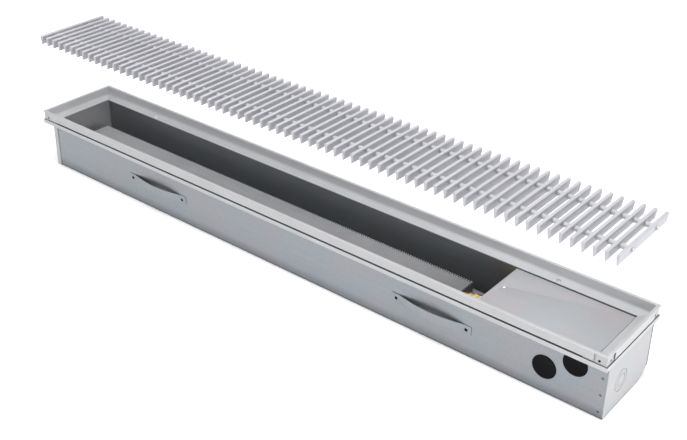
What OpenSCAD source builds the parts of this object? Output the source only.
// Trench convector heater: a sheet steel trough that is sunk into a floor, with
// an aluminium frame round its mouth, a finned copper coil low inside, two
// valves under a cover plate at one end, and a slatted grille.
// X runs along the trough, Y towards its rear wall, Z up. The origin is the
// middle of the frame's outline, on the surface that the trough stands on.

/* [Frame] */
// Outside length of the frame
frame_l = 1250; // [1150:10:1500]
// Outside width of the frame
frame_w = 170; // [166:1:190]
// Height from the floor of the trough to the top of the frame
total_h = 120; // [116:1:140]
// Wall of the aluminium profile
rail_wall = 1.5; // [1.2:0.1:1.8]
// Width of the chamber that holds the corner brackets
rail_chamber = 3; // [2.8:0.1:3.6]
// Depth of the ledge below the top of the frame
ledge_drop = 18; // [17.5:0.5:22]
// Width of the ledge, from the outer face of the frame
ledge_w = 25; // [23:0.5:28]
// Height of the open groove along the outer face
groove_h = 3.4; // [1.6:0.2:4]
// Height of the lip that hangs below the ledge
lip_h = 6; // [4:0.5:8]
// Radius of the outer upper edge
rail_round = 1.25; // [0.5:0.25:2]
// Length that the outer wall is cut back at each corner
notch_l = 22; // [18:1:28]

/* [Case] */
// Thickness of the sheet steel
sheet = 1.2; // [1:0.1:1.5]
// Distance from the frame's outer face to the case's long walls
side_inset = 13; // [11:0.5:14]
// Distance from the frame's left end to the case
left_inset = 12; // [10:0.5:13]
// Distance from the frame's right end to the case
right_inset = 2; // [2:0.5:6]
// Width of the slope between floor and rear wall
slope_w = 30; // [24:1:34]
// Height of the slope between floor and rear wall
slope_h = 17; // [12:1:20]
// Outer radius of the folds
fold_r = 3; // [2:0.5:4]
// Width of the flanges of the end plates
flange_w = 12; // [10:0.5:16]
// Diameter of the two pipe entries in the front wall
entry_d = 36.6; // [34:0.2:37]
// Height of the lower pipe entry
entry_low_z = 47; // [45:1:48]
// Height of the upper pipe entry
entry_high_z = 75.5; // [74:0.5:76]
// Distance from the right end of the case to the nearer pipe entry
entry_end = 52; // [46:1:60]
// Distance between the two pipe entries
entry_pitch = 48; // [46:1:60]

/* [Anchor straps] */
// Length of an anchor strap
strap_l = 152; // [140:2:180]
// Height of an anchor strap
strap_h = 15.5; // [12:0.5:20]
// Thickness of an anchor strap
strap_t = 1; // [0.8:0.1:1.2]
// Distance that the middle of a strap stands off the wall
strap_bow = 9; // [6:0.5:10]
// Distance between the middles of the two straps
strap_pitch = 628; // [560:4:640]

/* [Grille] */
// Number of slats
slat_count = 71; // [61:1:75]
// Height of a slat
slat_h = 17; // [15:0.5:17]
// Width of a slat at its top
slat_top_w = 5.6; // [5:0.1:7]
// Width of a slat at its foot
slat_foot_w = 1.8; // [1.4:0.1:2.4]
// Gap between the grille and the frame on each side
grille_gap = 0.4; // [0.3:0.1:1.6]
// Diameter of the two rods that carry the slats
rod_d = 5; // [4:0.2:5.4]
// Height of the lifted grille above its seat
grille_lift = 160; // [120:5:200]

/* [Coil] */
// Distance from the left end plate to the first fin
coil_start = 40; // [38:1:60]
// Distance from the last fin to the edge of the cover
coil_end_gap = 67; // [64:1:80]
// Width of a fin
fin_w = 96; // [88:1:98]
// Height of a fin
fin_h = 50; // [48:1:54]
// Thickness of a fin
fin_t = 0.4; // [0.3:0.1:0.6]
// Number of fins
fin_count = 200; // [150:1:220]
// Outside diameter of the copper tube
tube_d = 15; // [12:0.5:15]
// Wall of the copper tube
tube_wall = 0.8; // [0.6:0.1:1]
// Distance between the tubes across the coil
tube_pitch_y = 42; // [38:1:42]
// Distance between the two rows of tubes
tube_pitch_z = 24; // [22:1:26]

/* [Valves] */
// Bore radius of the half-inch female thread
thread_r = 9.3; // [9:0.05:9.5]
// Depth of the female thread
thread_l = 11; // [10:0.25:11]
// Outside diameter of a valve's barrel
barrel_d = 25; // [24:0.5:27]
// Diameter of the hand cap on the supply valve
cap_d = 32; // [28:0.5:34]
// Height of the hand cap
cap_h = 17; // [14:0.5:17]

/* [Cover] */
// Length of the cover plate
cover_l = 206; // [196:1:214]
// Gap between the cover plate and the ledge on each side
cover_gap = 1.5; // [1:0.1:3]
// Depth of the cover's turned-down edges
cover_edge = 8; // [5:0.5:9]
// Diameter of the head of the cover screw
cover_head_d = 10; // [8:0.5:12]

/* [Hidden] */
$fn = 48;
// Overrun of every cut
over = 1;
// Gap between a piece and its seat
seat = 0.3;
// Clearance of a turning or sliding fit
run_fit = 0.05;
// Radial clearance of a tube or screw in a plain hole
free_fit = 0.15;
// Overlap where a leg of the coil runs into its bend
joint = 0.02;
// Steps in a quarter turn of a fold
fold_steps = 5;

// Frame profile, with y from the outer face inwards
rail_t = 2 * rail_wall + rail_chamber;
rail_bevel = 0.1 * rail_t;
rail_fillet = 4;
ledge_z = total_h - ledge_drop;
ledge_under = ledge_z - rail_wall;
lip_z = ledge_under - lip_h;
chamber_top = total_h - rail_wall;
chamber_h = chamber_top - ledge_z;

// Corner brackets and their set screws
bracket_t = rail_chamber - 2 * seat;
bracket_h = chamber_h - 2 * seat;
bracket_z = ledge_z + seat;
bracket_l = 40;
set_r = 2.2;
set_h = 0.3 * bracket_h;
set_from_corner = 0.64 * notch_l;

// Case
case_x0 = left_inset - frame_l / 2;
case_x1 = frame_l / 2 - right_inset;
case_mid = (case_x0 + case_x1) / 2;
wall_y = frame_w / 2 - side_inset;
case_h = ledge_under;
case_flange = 9;
slope_y = wall_y - slope_w;
weld_r = 2.4;
weld_depth = 0.25;
weld_count = 3;
weld_z = 12;
weld_pitch = 30;
knockout_r = 19;
knockout_small_r = 12;
knockout_groove = 1.4;
knockout_depth = 0.7 * sheet;
knockout_y = -23;
knockout_z = 44;

// Pipe entries and their plugs
entry_r = entry_d / 2;
entry_x_high = case_x1 - entry_end;
entry_x_low = entry_x_high - entry_pitch;
plug_lip = 2;
plug_flange = 1;
plug_dish = 0.4;
plug_t = 1.6;
plug_depth = sheet + plug_t;

// Straps and rivets
strap_z = case_h / 2;
strap_tab = 13;
strap_steps = 28;
rivet_r = 2;
rivet_head_r = 3.6;
rivet_head_h = 1;
rivet_span = strap_l - 18;
frame_screw_r = 1.9;
frame_screw_x = 0.37 * frame_l;

// Grille
opening_l = frame_l - 2 * rail_t;
opening_w = frame_w - 2 * rail_t;
cove_reach = rail_fillet - sqrt(rail_fillet ^ 2 - (rail_fillet - seat) ^ 2);
grille_w = opening_w - 2 * (cove_reach + grille_gap);
grille_l = opening_l - 2 * grille_gap;
rod_end = 4;
slat_span = grille_l - 2 * rod_end - slat_top_w;
slat_pitch = slat_span / (slat_count - 1);
slat_crown = 0.9;
slat_cheek = 0.2 * slat_h;
rod_y = grille_w / 4;
rod_r = rod_d / 2;
rod_drop = 0.5 * slat_h;
spacer_r = rod_r + 1.6;
seated_z = ledge_z + seat;
grille_z = seated_z + grille_lift;
rod_z = grille_z + slat_h - rod_drop;
slat_w_at_rod = slat_top_w - (slat_top_w - slat_foot_w)
    * (rod_drop - spacer_r - slat_cheek) / (slat_h - slat_cheek);
rod_nut_r = 3.4;

// Cover
cover_x1 = frame_l / 2 - ledge_w - cover_gap;
cover_x0 = cover_x1 - cover_l;
cover_w = frame_w - 2 * ledge_w - 2 * cover_gap;
cover_top = case_h;
cover_z = cover_top - sheet;
bridge_w = 22;
bridge_x0 = cover_x0 + 2 * seat;
bridge_z = cover_z - seat;
bridge_flange = 12;
screw_x = bridge_x0 + bridge_w / 2;
screw_r = 2.5;
screw_l = 14;
screw_head_h = 1.4;
screw_slot = 1.4;
insert_r = 3.6;
insert_h = 8;
insert_flange_r = 5;
insert_flange_t = 0.8;
rest_w = 14;

// Coil
coil_x0 = case_x0 + coil_start;
coil_x1 = cover_x0 - coil_end_gap;
fin_pitch = (coil_x1 - coil_x0 - fin_t) / (fin_count - 1);
coil_front = 9;
fin_y0 = -wall_y + coil_front;
coil_y = fin_y0 + fin_w / 2;
tube_r = tube_d / 2;
tube_hole_r = tube_r + free_fit;
row_y = [coil_y - tube_pitch_y / 2, coil_y + tube_pitch_y / 2];
row_z = [entry_low_z - tube_pitch_z, entry_low_z];
coil_z = entry_low_z - tube_pitch_z / 2;
fin_z = coil_z - fin_h / 2;
plate_t = 1.5;
plate_gap = 2;
plate_foot = 12;
plate_x_left = coil_x0 - plate_gap - plate_t;
plate_x_right = coil_x1 + plate_gap;
leg_x0 = plate_x_left - 5;
leg_x1 = plate_x_right + plate_t + 5;

// Unions where the coil's two upper legs meet the connecting pipes
union_x = leg_x1 + 6;
union_l = 34;
union_hex_l = 14;
union_r = tube_r + 2.5;
union_hex_r = 13;
union_stop = 3;
leg_top_x1 = union_x + (union_l - union_stop) / 2 - run_fit;

// Valves: body centre, ports towards the coil and towards the pipe entries
supply_at = [entry_x_low, row_y[0], entry_low_z];
return_at = [entry_x_high, row_y[1], entry_high_z];
barrel_r = barrel_d / 2;
cap_ribs = 12;
cap_groove_r = 1.4;
port_in = 28;
port_out = 16;
port_in_r = tube_r + 3;
port_grip = 7.5;
way_r = 6.4;
ball_r = 12;
tower_r = 9;
tower_l = 20;
gland_r = 8;
gland_l = 4;
spindle_r = 2.5;
spindle_plug_r = 4.6;
lock_r = 4;
lock_l = 9;
hex_r = 1.9;

// Bend that turns the return pipe up into its valve
lift_r = tube_pitch_z / 2;
return_port = 17;

// Air vent on the return pipe
tee_l = 18;
tee_r = tube_r + 2;
vent_x = (union_x + union_l + return_at[0] - lift_r) / 2;
vent_z = entry_low_z + tee_r + 3;
vent_boss_r = 4.5;
vent_screw_r = 2.2;
vent_head_r = 3.6;
vent_head_h = 3;

// Colours
galvanised = [0.68, 0.70, 0.71];
plain_steel = [0.78, 0.78, 0.80];
aluminium = [0.84, 0.84, 0.85];
copper = [0.72, 0.42, 0.28];
brass = [0.80, 0.68, 0.40];
black_rubber = [0.10, 0.10, 0.11];
white_cap = [0.90, 0.90, 0.88];

// Plane geometry of folded sheet

function unit(v) = v / norm(v);
function left_of(v) = [-v[1], v[0]];
function cross2(a, b) = a[0] * b[1] - a[1] * b[0];
function last(list) = len(list) - 1;
function flip(list) = [for (i = [last(list):-1:0]) list[i]];

// Left turn is positive, right turn is negative
function turn_at(path, i) = cross2(path[i] - path[i - 1], path[i + 1] - path[i]);

// The same path, moved to its left by d
function beside(path, d) = [
    for (i = [0:last(path)])
        i == 0 ? path[0] + d * left_of(unit(path[1] - path[0]))
        : i == last(path) ? path[i] + d * left_of(unit(path[i] - path[i - 1]))
        : let (
            before = left_of(unit(path[i] - path[i - 1])),
            after = left_of(unit(path[i + 1] - path[i]))
        ) path[i] + d * (before + after) / (1 + before * after)
];

// Points of the arc of radius r that rounds corner i of a path
function corner_arc(path, i, r) =
    let (
        into = unit(path[i] - path[i - 1]),
        away = unit(path[i + 1] - path[i]),
        angle = acos(into * away),
        side = turn_at(path, i) > 0 ? 1 : -1,
        start = path[i] - into * r * tan(angle / 2),
        centre = start + side * r * left_of(into),
        steps = max(2, ceil(fold_steps * angle / 90))
    ) [
        for (k = [0:steps])
            let (a = side * angle * k / steps, out = start - centre)
            centre + [out[0] * cos(a) - out[1] * sin(a), out[0] * sin(a) + out[1] * cos(a)]
    ];

// A path with its corners rounded: left turns by r_left, right turns by r_right
function bent(path, r_left, r_right) = concat(
    [path[0]],
    [
        for (i = [1:last(path) - 1])
            each corner_arc(path, i, turn_at(path, i) > 0 ? r_left : r_right)
    ],
    [path[last(path)]]
);

// Outline of a sheet of thickness t that lies to the left of a path
function folded(path, t, r) = concat(
    bent(path, r, r - t),
    flip(bent(beside(path, t), r - t, r))
);

// Solids

// An outline in Y and Z, drawn out along X
module along_x(x0, x1) {
    translate([x0, 0, 0])
        rotate([90, 0, 90])
            linear_extrude(x1 - x0)
                children();
}

// A cylinder along X, Y or Z from a point, with its length
module rod_x(x, y, z, r, l) {
    translate([x, y, z])
        rotate([0, 90, 0])
            cylinder(r = r, h = l);
}

module rod_y_axis(x, y, z, r, l) {
    translate([x, y, z])
        rotate([-90, 0, 0])
            cylinder(r = r, h = l);
}

module rod_up(x, y, z, r, l) {
    translate([x, y, z])
        cylinder(r = r, h = l);
}

module hex_up(x, y, z, r, l) {
    translate([x, y, z])
        cylinder(r = r, h = l, $fn = 6);
}

// A tube along X
module pipe_x(x, y, z, r, bore, l) {
    difference() {
        rod_x(x, y, z, r, l);
        rod_x(x - over, y, z, bore, l + 2 * over);
    }
}

// Case

// Rear wall, slope, floor and front wall, with a flange inwards along each top
function case_path() = [
    [wall_y - case_flange, case_h],
    [wall_y, case_h],
    [wall_y, slope_h],
    [slope_y, 0],
    [-wall_y, 0],
    [-wall_y, case_h],
    [case_flange - wall_y, case_h]
];

// Closed outline of the case, grown by d
module case_outline(d) {
    polygon(bent(beside(case_path(), d), fold_r, fold_r));
}

module case_shell() {
    path = case_path();
    color(galvanised)
        difference() {
            along_x(case_x0 + fold_r, case_x1)
                polygon(concat(
                    bent(path, fold_r, fold_r),
                    flip(bent(beside(path, -sheet), fold_r - sheet, fold_r - sheet))
                ));
            rod_y_axis(entry_x_low, -wall_y - over, entry_low_z, entry_r, sheet + 2 * over);
            rod_y_axis(entry_x_high, -wall_y - over, entry_high_z, entry_r, sheet + 2 * over);
            each_frame_screw()
                rod_up(0, 0, case_h - sheet - over, frame_screw_r + free_fit, sheet + 2 * over);
            each_rivet()
                rod_y_axis(0, -wall_y - over, 0, rivet_r + free_fit, sheet + 2 * over);
            for (side = [-1, 1], k = [0:weld_count - 1])
                translate([case_x1 - flange_w * 0.6, side * wall_y, weld_z + k * weld_pitch])
                    rotate([90, 0, 0])
                        cylinder(r = weld_r, h = 2 * weld_depth, center = true);
        }
}

// Plan of an end plate with a flange along each long wall, its outer face at x = 0
function end_path(half_w) = [
    [flange_w, -half_w],
    [0, -half_w],
    [0, half_w],
    [flange_w, half_w]
];

module end_plate_left() {
    color(galvanised)
        intersection() {
            translate([case_x0, 0, 0])
                linear_extrude(case_h)
                    polygon(folded(flip(end_path(wall_y + sheet)), sheet, fold_r));
            along_x(case_x0 - over, case_x0 + flange_w + over)
                case_outline(sheet);
        }
}

module end_plate_right() {
    color(galvanised)
        difference() {
            intersection() {
                translate([case_x1, 0, 0])
                    mirror([1, 0, 0])
                        linear_extrude(case_h)
                            polygon(folded(flip(end_path(wall_y - sheet)), sheet, fold_r));
                along_x(case_x1 - flange_w - over, case_x1 + over)
                    case_outline(-sheet);
            }
            knockout_ring(knockout_r);
            knockout_ring(knockout_small_r);
        }
}

// A round groove, half through the sheet, where a disc can be knocked out
module knockout_ring(r) {
    translate([case_x1 - knockout_depth, knockout_y, knockout_z])
        rotate([0, 90, 0])
            difference() {
                cylinder(r = r, h = sheet);
                translate([0, 0, -over])
                    cylinder(r = r - knockout_groove, h = sheet + 2 * over);
            }
}

// Screws that hold the long rails on the flanges of the case

module each_frame_screw() {
    for (side = [-1, 1], end = [-1, 1])
        translate([end * frame_screw_x, side * (wall_y - case_flange / 2), 0])
            children();
}

module frame_screws() {
    grip = rail_wall + sheet;
    color(plain_steel)
        each_frame_screw()
            translate([0, 0, ledge_z])
                rotate_extrude()
                    polygon([
                        [0, rivet_head_h * 1.4],
                        [rivet_head_r * 0.6, rivet_head_h * 1.2],
                        [rivet_head_r, 0],
                        [frame_screw_r, 0],
                        [frame_screw_r, -grip - rivet_head_h * 2],
                        [0, -grip - rivet_head_h * 4]
                    ]);
}

// Anchor straps

module each_rivet() {
    for (side = [-1, 1], end = [-1, 1])
        translate([
            case_mid + side * strap_pitch / 2 + end * rivet_span / 2,
            0,
            strap_z
        ])
            children();
}

// How far the strap stands off the wall at x from its middle
function strap_off(x) =
    let (half = strap_l / 2 - strap_tab, share = min(1, abs(x) / half))
    strap_bow * cos(90 * share);

function strap_x(k) =
    let (half = strap_l / 2 - strap_tab)
    -half + 2 * half * k / strap_steps;

module anchor_strap(mid_x) {
    back = concat(
        [[-strap_l / 2, 0]],
        [for (k = [0:strap_steps]) [strap_x(k), -strap_off(strap_x(k))]],
        [[strap_l / 2, 0]]
    );
    front = [for (p = flip(back)) p - [0, strap_t]];
    color(galvanised)
        translate([mid_x, -wall_y, strap_z])
            difference() {
                translate([0, 0, -strap_h / 2])
                    linear_extrude(strap_h)
                        polygon(concat(back, front));
                for (end = [-1, 1])
                    rod_y_axis(end * rivet_span / 2, -strap_t - over, 0,
                        rivet_r + free_fit, strap_t + 2 * over);
            }
}

module strap_rivets() {
    color(plain_steel)
        each_rivet()
            translate([0, -wall_y - strap_t, 0])
                rotate([-90, 0, 0])
                    rotate_extrude()
                        polygon(rivet_outline());
}

// Half section of a rivet: domed head in front, shank, set head behind
function rivet_outline() =
    let (grip = strap_t + sheet)
    [
        [0, -rivet_head_h],
        [rivet_head_r * 0.55, -rivet_head_h * 0.85],
        [rivet_head_r, 0],
        [rivet_r, 0],
        [rivet_r, grip],
        [rivet_r * 1.5, grip],
        [rivet_r * 1.5, grip + rivet_head_h * 1.6],
        [0, grip + rivet_head_h * 1.6]
    ];

// Pipe entries

// A cup that pushes into a pipe entry, its rim on the outside of the wall
module entry_plug(x, z) {
    rim = entry_r + plug_lip;
    body = entry_r - run_fit;
    bore = body - plug_t;
    face = plug_dish - plug_flange;
    color(black_rubber)
        translate([x, -wall_y, z])
            rotate([-90, 0, 0])
                rotate_extrude()
                    polygon([
                        [0, face],
                        [bore, face],
                        [bore + plug_dish, -plug_flange],
                        [rim - plug_dish, -plug_flange],
                        [rim, face],
                        [rim, -run_fit],
                        [body, -run_fit],
                        [body, plug_depth],
                        [bore, plug_depth],
                        [bore, face + plug_t],
                        [0, face + plug_t]
                    ]);
}

// Frame

// Section of a rail, y from the outer face inwards
function rail_outline() = concat(
    corner_arc(
        [
            [0, ledge_z + groove_h],
            [0, total_h],
            [rail_t, total_h]
        ],
        1,
        rail_round
    ),
    [
        [rail_t - rail_bevel, total_h],
        [rail_t, total_h - rail_bevel]
    ],
    corner_arc(
        [
            [rail_t, total_h - rail_bevel],
            [rail_t, ledge_z],
            [ledge_w, ledge_z]
        ],
        1,
        rail_fillet
    ),
    [
        [ledge_w, ledge_z],
        [ledge_w, ledge_under],
        [rail_wall, ledge_under],
        [rail_wall, lip_z],
        [0, lip_z],
        [0, ledge_z],
        [rail_wall + rail_chamber, ledge_z],
        [rail_wall + rail_chamber, chamber_top],
        [rail_wall, chamber_top],
        [rail_wall, ledge_z + groove_h],
        [0, ledge_z + groove_h]
    ]
);

// A mitred rail of outside length l, along X, with its outer face at y = 0
module rail(l) {
    color(aluminium)
        difference() {
            intersection() {
                along_x(-l / 2, l / 2)
                    polygon(rail_outline());
                linear_extrude(total_h + over)
                    polygon([
                        [-l / 2, 0],
                        [l / 2, 0],
                        [l / 2 - ledge_w, ledge_w],
                        [ledge_w - l / 2, ledge_w]
                    ]);
            }
            for (end = [-1, 1])
                translate([end * l / 2 - notch_l, -over, ledge_z])
                    cube([2 * notch_l, rail_wall + over, chamber_h]);
        }
}

module long_rail() {
    difference() {
        translate([0, -frame_w / 2, 0])
            rail(frame_l);
        color(aluminium)
            each_frame_screw()
                rod_up(0, 0, ledge_under - over, frame_screw_r + free_fit, rail_wall + 2 * over);
    }
}

module frame_rail_front() {
    long_rail();
}

module frame_rail_rear() {
    rotate([0, 0, 180])
        long_rail();
}

module frame_rail_left() {
    translate([-frame_l / 2, 0, 0])
        rotate([0, 0, -90])
            rail(frame_w);
}

module frame_rail_right() {
    translate([frame_l / 2, 0, 0])
        rotate([0, 0, 90])
            rail(frame_w);
}

// An angle in the chambers of two rails, at the corner on side sx, sy
module corner_bracket(sx, sy) {
    outer = rail_wall + rail_chamber - bracket_t;
    inner = rail_wall + rail_chamber;
    color(aluminium)
        translate([sx * frame_l / 2, sy * frame_w / 2, bracket_z])
            scale_side(-sx, -sy)
                difference() {
                    linear_extrude(bracket_h)
                        polygon([
                            [outer, outer],
                            [bracket_l, outer],
                            [bracket_l, inner],
                            [inner, inner],
                            [inner, bracket_l],
                            [outer, bracket_l]
                        ]);
                    rod_y_axis(set_from_corner, outer - over, set_h,
                        set_r, bracket_t + 2 * over);
                    rod_x(outer - over, set_from_corner, set_h,
                        set_r, bracket_t + 2 * over);
                }
}

// Mirrors its children so that they point to the side given for X and Y
module scale_side(sx, sy) {
    mirror([sx < 0 ? 1 : 0, 0, 0])
        mirror([0, sy < 0 ? 1 : 0, 0])
            children();
}

// A set screw with a hexagon socket, along Z, its point at z = 0
module set_screw() {
    difference() {
        cylinder(r = set_r - run_fit, h = bracket_t * 0.75);
        translate([0, 0, bracket_t * 0.3])
            cylinder(r = set_r * 0.55, h = bracket_t, $fn = 6);
    }
}

module frame_set_screws() {
    inner = rail_wall + rail_chamber;
    color(plain_steel)
        for (sx = [-1, 1], sy = [-1, 1])
            translate([sx * frame_l / 2, sy * frame_w / 2, bracket_z + set_h])
                scale_side(-sx, -sy) {
                    translate([set_from_corner, inner, 0])
                        rotate([90, 0, 0])
                            set_screw();
                    translate([inner, set_from_corner, 0])
                        rotate([0, -90, 0])
                            set_screw();
                }
}

// Cover over the valves

module cover_plate() {
    color(galvanised)
        difference() {
            along_x(cover_x0, cover_x1)
                polygon(folded(
                    [
                        [-cover_w / 2, cover_top - cover_edge],
                        [-cover_w / 2, cover_top],
                        [cover_w / 2, cover_top],
                        [cover_w / 2, cover_top - cover_edge]
                    ],
                    -sheet,
                    fold_r - sheet
                ));
            rod_up(screw_x, 0, cover_z - over, screw_r + free_fit, sheet + 2 * over);
            for (side = [-1, 1])
                cover_relief(side);
        }
}

// Takes the turned-down edge away where the bridge and the rest carry the cover
module cover_relief(side) {
    depth = sheet + fold_r;
    low = cover_top - cover_edge - over;
    cuts = [
        [cover_x0 - over, bridge_w + over + 2 * seat],
        [cover_x1 - rest_w - sheet, rest_w + sheet + over]
    ];
    for (cut = cuts)
        translate([cut[0], side > 0 ? cover_w / 2 - depth : -cover_w / 2 - over, low])
            cube([cut[1], depth + over, cover_edge + over - sheet]);
}

// A channel across the trough that carries the left end of the cover
module cover_bridge() {
    color(galvanised)
        difference() {
            intersection() {
                translate([bridge_x0 + bridge_w / 2, 0, 0])
                    rotate([90, 0, 0])
                        linear_extrude(2 * wall_y, center = true)
                            polygon(folded(
                                [
                                    [-bridge_w / 2, bridge_z - bridge_flange],
                                    [-bridge_w / 2, bridge_z],
                                    [bridge_w / 2, bridge_z],
                                    [bridge_w / 2, bridge_z - bridge_flange]
                                ],
                                -sheet,
                                fold_r - sheet
                            ));
                along_x(bridge_x0 - over, bridge_x0 + bridge_w + over)
                    case_outline(-sheet);
            }
            rod_up(screw_x, 0, bridge_z - sheet - over, insert_r + free_fit, sheet + 2 * over);
        }
}

// An angle on the right end plate that carries the right end of the cover
module cover_rest() {
    rest_x1 = case_x1 - sheet;
    rest_x0 = cover_x1 - rest_w;
    inner = cover_w / 2;
    color(galvanised)
        translate([0, inner, 0])
            rotate([90, 0, 0])
                linear_extrude(2 * inner)
                    polygon(folded(
                        [
                            [rest_x1, bridge_z - bridge_flange],
                            [rest_x1, bridge_z],
                            [rest_x0, bridge_z]
                        ],
                        sheet,
                        fold_r
                    ));
}

module cover_insert_nut() {
    color(plain_steel)
        difference() {
            union() {
                rod_up(screw_x, 0, bridge_z - insert_h, insert_r, insert_h);
                rod_up(screw_x, 0, bridge_z - sheet - insert_flange_t, insert_flange_r, insert_flange_t);
            }
            rod_up(screw_x, 0, bridge_z - insert_h - over, screw_r + run_fit, insert_h + 2 * over);
        }
}

module cover_screw() {
    head_z = cover_top + run_fit;
    head_r = cover_head_d / 2;
    color(plain_steel)
        difference() {
            translate([screw_x, 0, head_z])
                rotate_extrude()
                    polygon([
                        [0, screw_head_h],
                        [head_r * 0.5, screw_head_h * 0.93],
                        [head_r * 0.82, screw_head_h * 0.7],
                        [head_r, screw_head_h * 0.3],
                        [head_r, 0],
                        [screw_r, 0],
                        [screw_r, -screw_l],
                        [0, -screw_l]
                    ]);
            translate([screw_x - screw_slot / 2, -head_r - over, head_z + screw_head_h * 0.5])
                cube([screw_slot, cover_head_d + 2 * over, screw_head_h]);
        }
}

// Coil

module each_tube() {
    for (y = row_y, z = row_z)
        translate([0, y, z])
            children();
}

module coil_fins() {
    color(aluminium)
        difference() {
            for (k = [0:fin_count - 1])
                translate([coil_x0 + k * fin_pitch, fin_y0, fin_z])
                    cube([fin_t, fin_w, fin_h]);
            each_tube()
                rod_x(coil_x0 - over, 0, 0, tube_hole_r, coil_x1 - coil_x0 + 2 * over);
        }
}

// Two legs at y and the bend that joins them at the left end
module hairpin(y) {
    bend_r = tube_pitch_z / 2;
    color(copper)
        difference() {
            hairpin_solid(y, bend_r, tube_r, 0);
            hairpin_solid(y, bend_r, tube_r - tube_wall, over);
        }
}

module hairpin_solid(y, bend_r, r, extra) {
    rod_x(leg_x0 - joint, y, row_z[0], r, leg_x1 - leg_x0 + joint + extra);
    rod_x(leg_x0 - joint, y, row_z[1], r, leg_top_x1 - leg_x0 + joint + extra);
    translate([leg_x0, y, coil_z])
        rotate([-90, 0, 0])
            half_ring(bend_r, r);
}

// Half of a ring about Z, on the side of negative x
module half_ring(bend_r, r) {
    rotate([0, 0, 90])
        rotate_extrude(angle = 180)
            translate([bend_r, 0])
                circle(r = r);
}

// The bend at the right end that joins the two lower legs
module coil_return_bend() {
    bend_r = tube_pitch_y / 2;
    stub = 6;
    color(copper)
        difference() {
            return_bend_solid(bend_r, tube_r, 0, stub);
            return_bend_solid(bend_r, tube_r - tube_wall, over, stub);
        }
}

module return_bend_solid(bend_r, r, extra, stub) {
    for (y = row_y)
        rod_x(leg_x1 - extra, y, row_z[0], r, stub + extra + joint);
    translate([leg_x1 + stub, coil_y, row_z[0]])
        rotate([0, 0, 180])
            half_ring(bend_r, r);
}

// A plate at an end of the coil, with a foot on the floor
module coil_plate(x, side) {
    foot_x = side > 0 ? x : x + plate_t - plate_foot;
    color(galvanised)
        difference() {
            union() {
                translate([x, fin_y0, sheet])
                    cube([plate_t, fin_w, fin_z + fin_h - sheet]);
                translate([foot_x, fin_y0, sheet])
                    cube([plate_foot, fin_w, plate_t]);
            }
            each_tube()
                rod_x(x - over, 0, 0, tube_hole_r, plate_t + 2 * over);
        }
}

// Unions, connecting pipes and valves

// A coupling over the end of a leg and the end of a pipe, with a hexagon nut
module pipe_union(y) {
    color(brass)
        difference() {
            union() {
                rod_x(union_x, y, entry_low_z, union_r, union_l);
                translate([union_x + (union_l - union_hex_l) / 2, y, entry_low_z])
                    rotate([0, 90, 0])
                        cylinder(r = union_hex_r, h = union_hex_l, $fn = 6);
            }
            rod_x(union_x - over, y, entry_low_z, way_r, union_l + 2 * over);
            for (x = [union_x - over, union_x + (union_l + union_stop) / 2])
                rod_x(x, y, entry_low_z, tube_r + run_fit, (union_l - union_stop) / 2 + over);
        }
}

module supply_pipe() {
    x0 = union_x + (union_l + union_stop) / 2 + run_fit;
    x1 = supply_at[0] - port_in + port_grip - run_fit;
    color(copper)
        pipe_x(x0, supply_at[1], supply_at[2], tube_r, tube_r - tube_wall, x1 - x0);
}

module return_pipe() {
    color(copper)
        difference() {
            return_pipe_solid(tube_r, 0);
            return_pipe_solid(tube_r - tube_wall, over);
        }
}

// The pipe's solid, with its ends longer by extra
module return_pipe_solid(r, extra) {
    x0 = union_x + (union_l + union_stop) / 2 + run_fit - extra;
    bend_x = return_at[0] - lift_r;
    top = return_at[2] - return_port + port_grip - run_fit + extra;
    y = return_at[1];
    rod_x(x0, y, entry_low_z, r, bend_x - x0);
    translate([bend_x, y, entry_low_z + lift_r])
        rotate([90, 0, 0])
            rotate([0, 0, -90])
                rotate_extrude(angle = 90)
                    translate([lift_r, 0])
                        circle(r = r);
    rod_up(return_at[0], y, entry_low_z + lift_r, r, top - entry_low_z - lift_r);
}

// A valve about its own centre: a port towards -X, a threaded one towards -Y,
// and a tower for the spindle along Z
module valve_body(port_l) {
    color(brass)
        difference() {
            union() {
                rod_x(-port_l, 0, 0, port_in_r, port_l);
                sphere(r = ball_r);
                rod_y_axis(0, -port_out, 0, barrel_r, thread_l);
                rod_y_axis(0, -port_out, 0, barrel_r * 0.88, port_out);
                cylinder(r = tower_r, h = tower_l);
            }
            rod_x(-port_l - over, 0, 0, tube_r + run_fit, port_grip + over);
            rod_x(-port_l, 0, 0, way_r, port_l);
            sphere(r = way_r);
            rod_y_axis(0, -port_out, 0, way_r, port_out);
            rod_y_axis(0, -port_out - over, 0, thread_r, thread_l + over);
            cylinder(r = spindle_plug_r + run_fit, h = tower_l + over);
        }
}

// Turns a valve so that its port points down and its spindle along X
module return_frame() {
    translate(return_at)
        rotate([0, -90, 0])
            mirror([0, 0, 1])
                children();
}

// The nut on the end of a tower
module gland_nut(bore) {
    color(brass)
        translate([0, 0, tower_l])
            difference() {
                cylinder(r = gland_r, h = gland_l, $fn = 6);
                translate([0, 0, -over])
                    cylinder(r = bore + run_fit, h = gland_l + 2 * over);
            }
}

module supply_spindle() {
    color(plain_steel)
        translate(supply_at) {
            translate([0, 0, way_r])
                cylinder(r = spindle_plug_r, h = tower_l - way_r - run_fit);
            translate([0, 0, tower_l - over])
                cylinder(r = spindle_r, h = gland_l + cap_h / 2 + over);
        }
}

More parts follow.
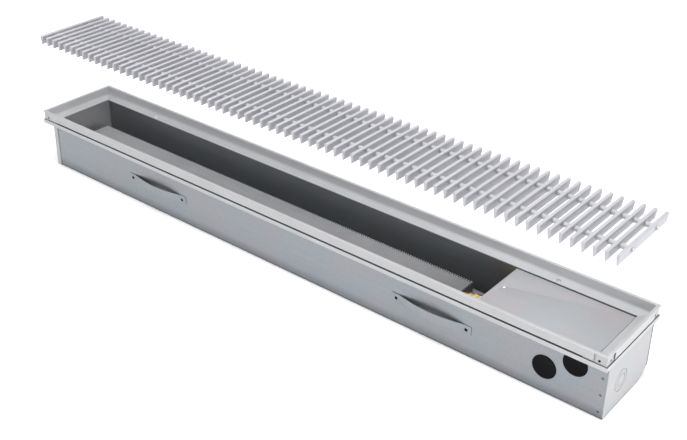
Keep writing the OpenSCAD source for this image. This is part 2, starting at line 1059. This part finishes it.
module supply_hand_cap() {
    r = cap_d / 2;
    color(white_cap)
        translate(supply_at + [0, 0, tower_l + gland_l + seat])
            difference() {
                rotate_extrude()
                    polygon([
                        [0, 0],
                        [r * 0.96, 0],
                        [r, cap_h * 0.1],
                        [r * 0.94, cap_h * 0.9],
                        [r * 0.86, cap_h],
                        [0, cap_h]
                    ]);
                translate([0, 0, -over])
                    cylinder(r = spindle_r, h = cap_h / 2 + over - seat);
                for (k = [0:cap_ribs - 1])
                    rotate([0, 0, 360 * k / cap_ribs])
                        translate([r, 0, -over])
                            cylinder(r = cap_groove_r, h = cap_h * 0.8);
            }
}

module return_spindle() {
    color(plain_steel)
        return_frame()
            difference() {
                union() {
                    translate([0, 0, way_r])
                        cylinder(r = spindle_plug_r, h = tower_l - way_r - run_fit);
                    translate([0, 0, tower_l - over])
                        cylinder(r = lock_r, h = gland_l + lock_l + over);
                }
                translate([0, 0, tower_l + gland_l + lock_l / 2])
                    cylinder(r = hex_r, h = lock_l, $fn = 6);
            }
}

// A sleeve on the return pipe with a boss for the vent screw
module vent_tee() {
    y = return_at[1];
    color(brass)
        difference() {
            union() {
                rod_x(vent_x - tee_l / 2, y, entry_low_z, tee_r, tee_l);
                rod_up(vent_x, y, entry_low_z, vent_boss_r, vent_z - entry_low_z);
            }
            rod_x(vent_x - tee_l, y, entry_low_z, tube_r + run_fit, 2 * tee_l);
            rod_up(vent_x, y, entry_low_z, vent_screw_r + run_fit, 2 * tee_l);
        }
}

module vent_screw() {
    y = return_at[1];
    color(brass)
        difference() {
            union() {
                rod_up(vent_x, y, entry_low_z + tube_r + seat, vent_screw_r,
                    vent_z - entry_low_z - tube_r);
                rod_up(vent_x, y, vent_z + run_fit, vent_head_r, vent_head_h);
            }
            translate([vent_x - screw_slot / 2, y - vent_head_r - over, vent_z + vent_head_h / 2])
                cube([screw_slot, 2 * vent_head_r + 2 * over, vent_head_h]);
        }
}

// Grille

// Section of a slat: crowned top, short upright cheeks, then a taper to the foot
function slat_outline() = [
    [-slat_foot_w / 2, 0],
    [slat_foot_w / 2, 0],
    [slat_top_w / 2, slat_h - slat_cheek],
    [slat_top_w / 2, slat_h - slat_crown],
    [slat_top_w * 0.36, slat_h - slat_crown * 0.3],
    [slat_top_w * 0.16, slat_h],
    [-slat_top_w * 0.16, slat_h],
    [-slat_top_w * 0.36, slat_h - slat_crown * 0.3],
    [-slat_top_w / 2, slat_h - slat_crown],
    [-slat_top_w / 2, slat_h - slat_cheek]
];

module grille_slats() {
    color(aluminium)
        for (k = [0:slat_count - 1])
            translate([k * slat_pitch - slat_span / 2, 0, grille_z])
                difference() {
                    rotate([90, 0, 0])
                        linear_extrude(grille_w, center = true)
                            polygon(slat_outline());
                    for (side = [-1, 1])
                        rod_x(-slat_top_w, side * rod_y, slat_h - rod_drop,
                            rod_r + free_fit, 2 * slat_top_w);
                }
}

module grille_rods() {
    half = slat_span / 2 + slat_top_w / 2;
    color(plain_steel)
        for (side = [-1, 1])
            rod_x(-half, side * rod_y, rod_z, rod_r, 2 * half);
}

module grille_spacers() {
    gap = slat_pitch - slat_w_at_rod - free_fit;
    color(black_rubber)
        for (k = [0:slat_count - 2], side = [-1, 1])
            pipe_x((k + 0.5) * slat_pitch - slat_span / 2 - gap / 2, side * rod_y, rod_z,
                spacer_r, rod_r + free_fit, gap);
}

module grille_rod_nuts() {
    half = slat_span / 2 + slat_top_w / 2;
    color(plain_steel)
        for (side = [-1, 1], end = [-1, 1])
            translate([end * half, side * rod_y, rod_z])
                rotate([0, end * 90, 0])
                    rotate_extrude()
                        polygon([
                            [0, 0],
                            [rod_nut_r, 0],
                            [rod_nut_r, rod_end * 0.5],
                            [rod_nut_r * 0.7, rod_end * 0.85],
                            [0, rod_end]
                        ]);
}

case_shell();
end_plate_left();
end_plate_right();
anchor_strap(case_mid - strap_pitch / 2);  // anchor_strap_left
anchor_strap(case_mid + strap_pitch / 2);  // anchor_strap_right
strap_rivets();
entry_plug(entry_x_low, entry_low_z);  // entry_plug_low
entry_plug(entry_x_high, entry_high_z);  // entry_plug_high
frame_rail_front();
frame_rail_rear();
frame_rail_left();
frame_rail_right();
corner_bracket(-1, -1);  // corner_bracket_front_left
corner_bracket(1, -1);  // corner_bracket_front_right
corner_bracket(-1, 1);  // corner_bracket_rear_left
corner_bracket(1, 1);  // corner_bracket_rear_right
frame_set_screws();
frame_screws();
cover_plate();
cover_bridge();
cover_rest();
cover_insert_nut();
cover_screw();
coil_fins();
hairpin(row_y[0]);  // coil_tube_supply
hairpin(row_y[1]);  // coil_tube_return
coil_return_bend();
coil_plate(plate_x_left, -1);  // coil_plate_left
coil_plate(plate_x_right, 1);  // coil_plate_right
pipe_union(row_y[0]);  // supply_union
pipe_union(row_y[1]);  // return_union
supply_pipe();
return_pipe();
vent_tee();
vent_screw();
translate(supply_at) valve_body(port_in);  // supply_valve_body
return_frame() valve_body(return_port);  // return_valve_body
translate(supply_at) gland_nut(spindle_r);  // supply_gland_nut
return_frame() gland_nut(lock_r);  // return_gland_nut
supply_spindle();
supply_hand_cap();
return_spindle();
grille_slats();
grille_rods();
grille_spacers();
grille_rod_nuts();
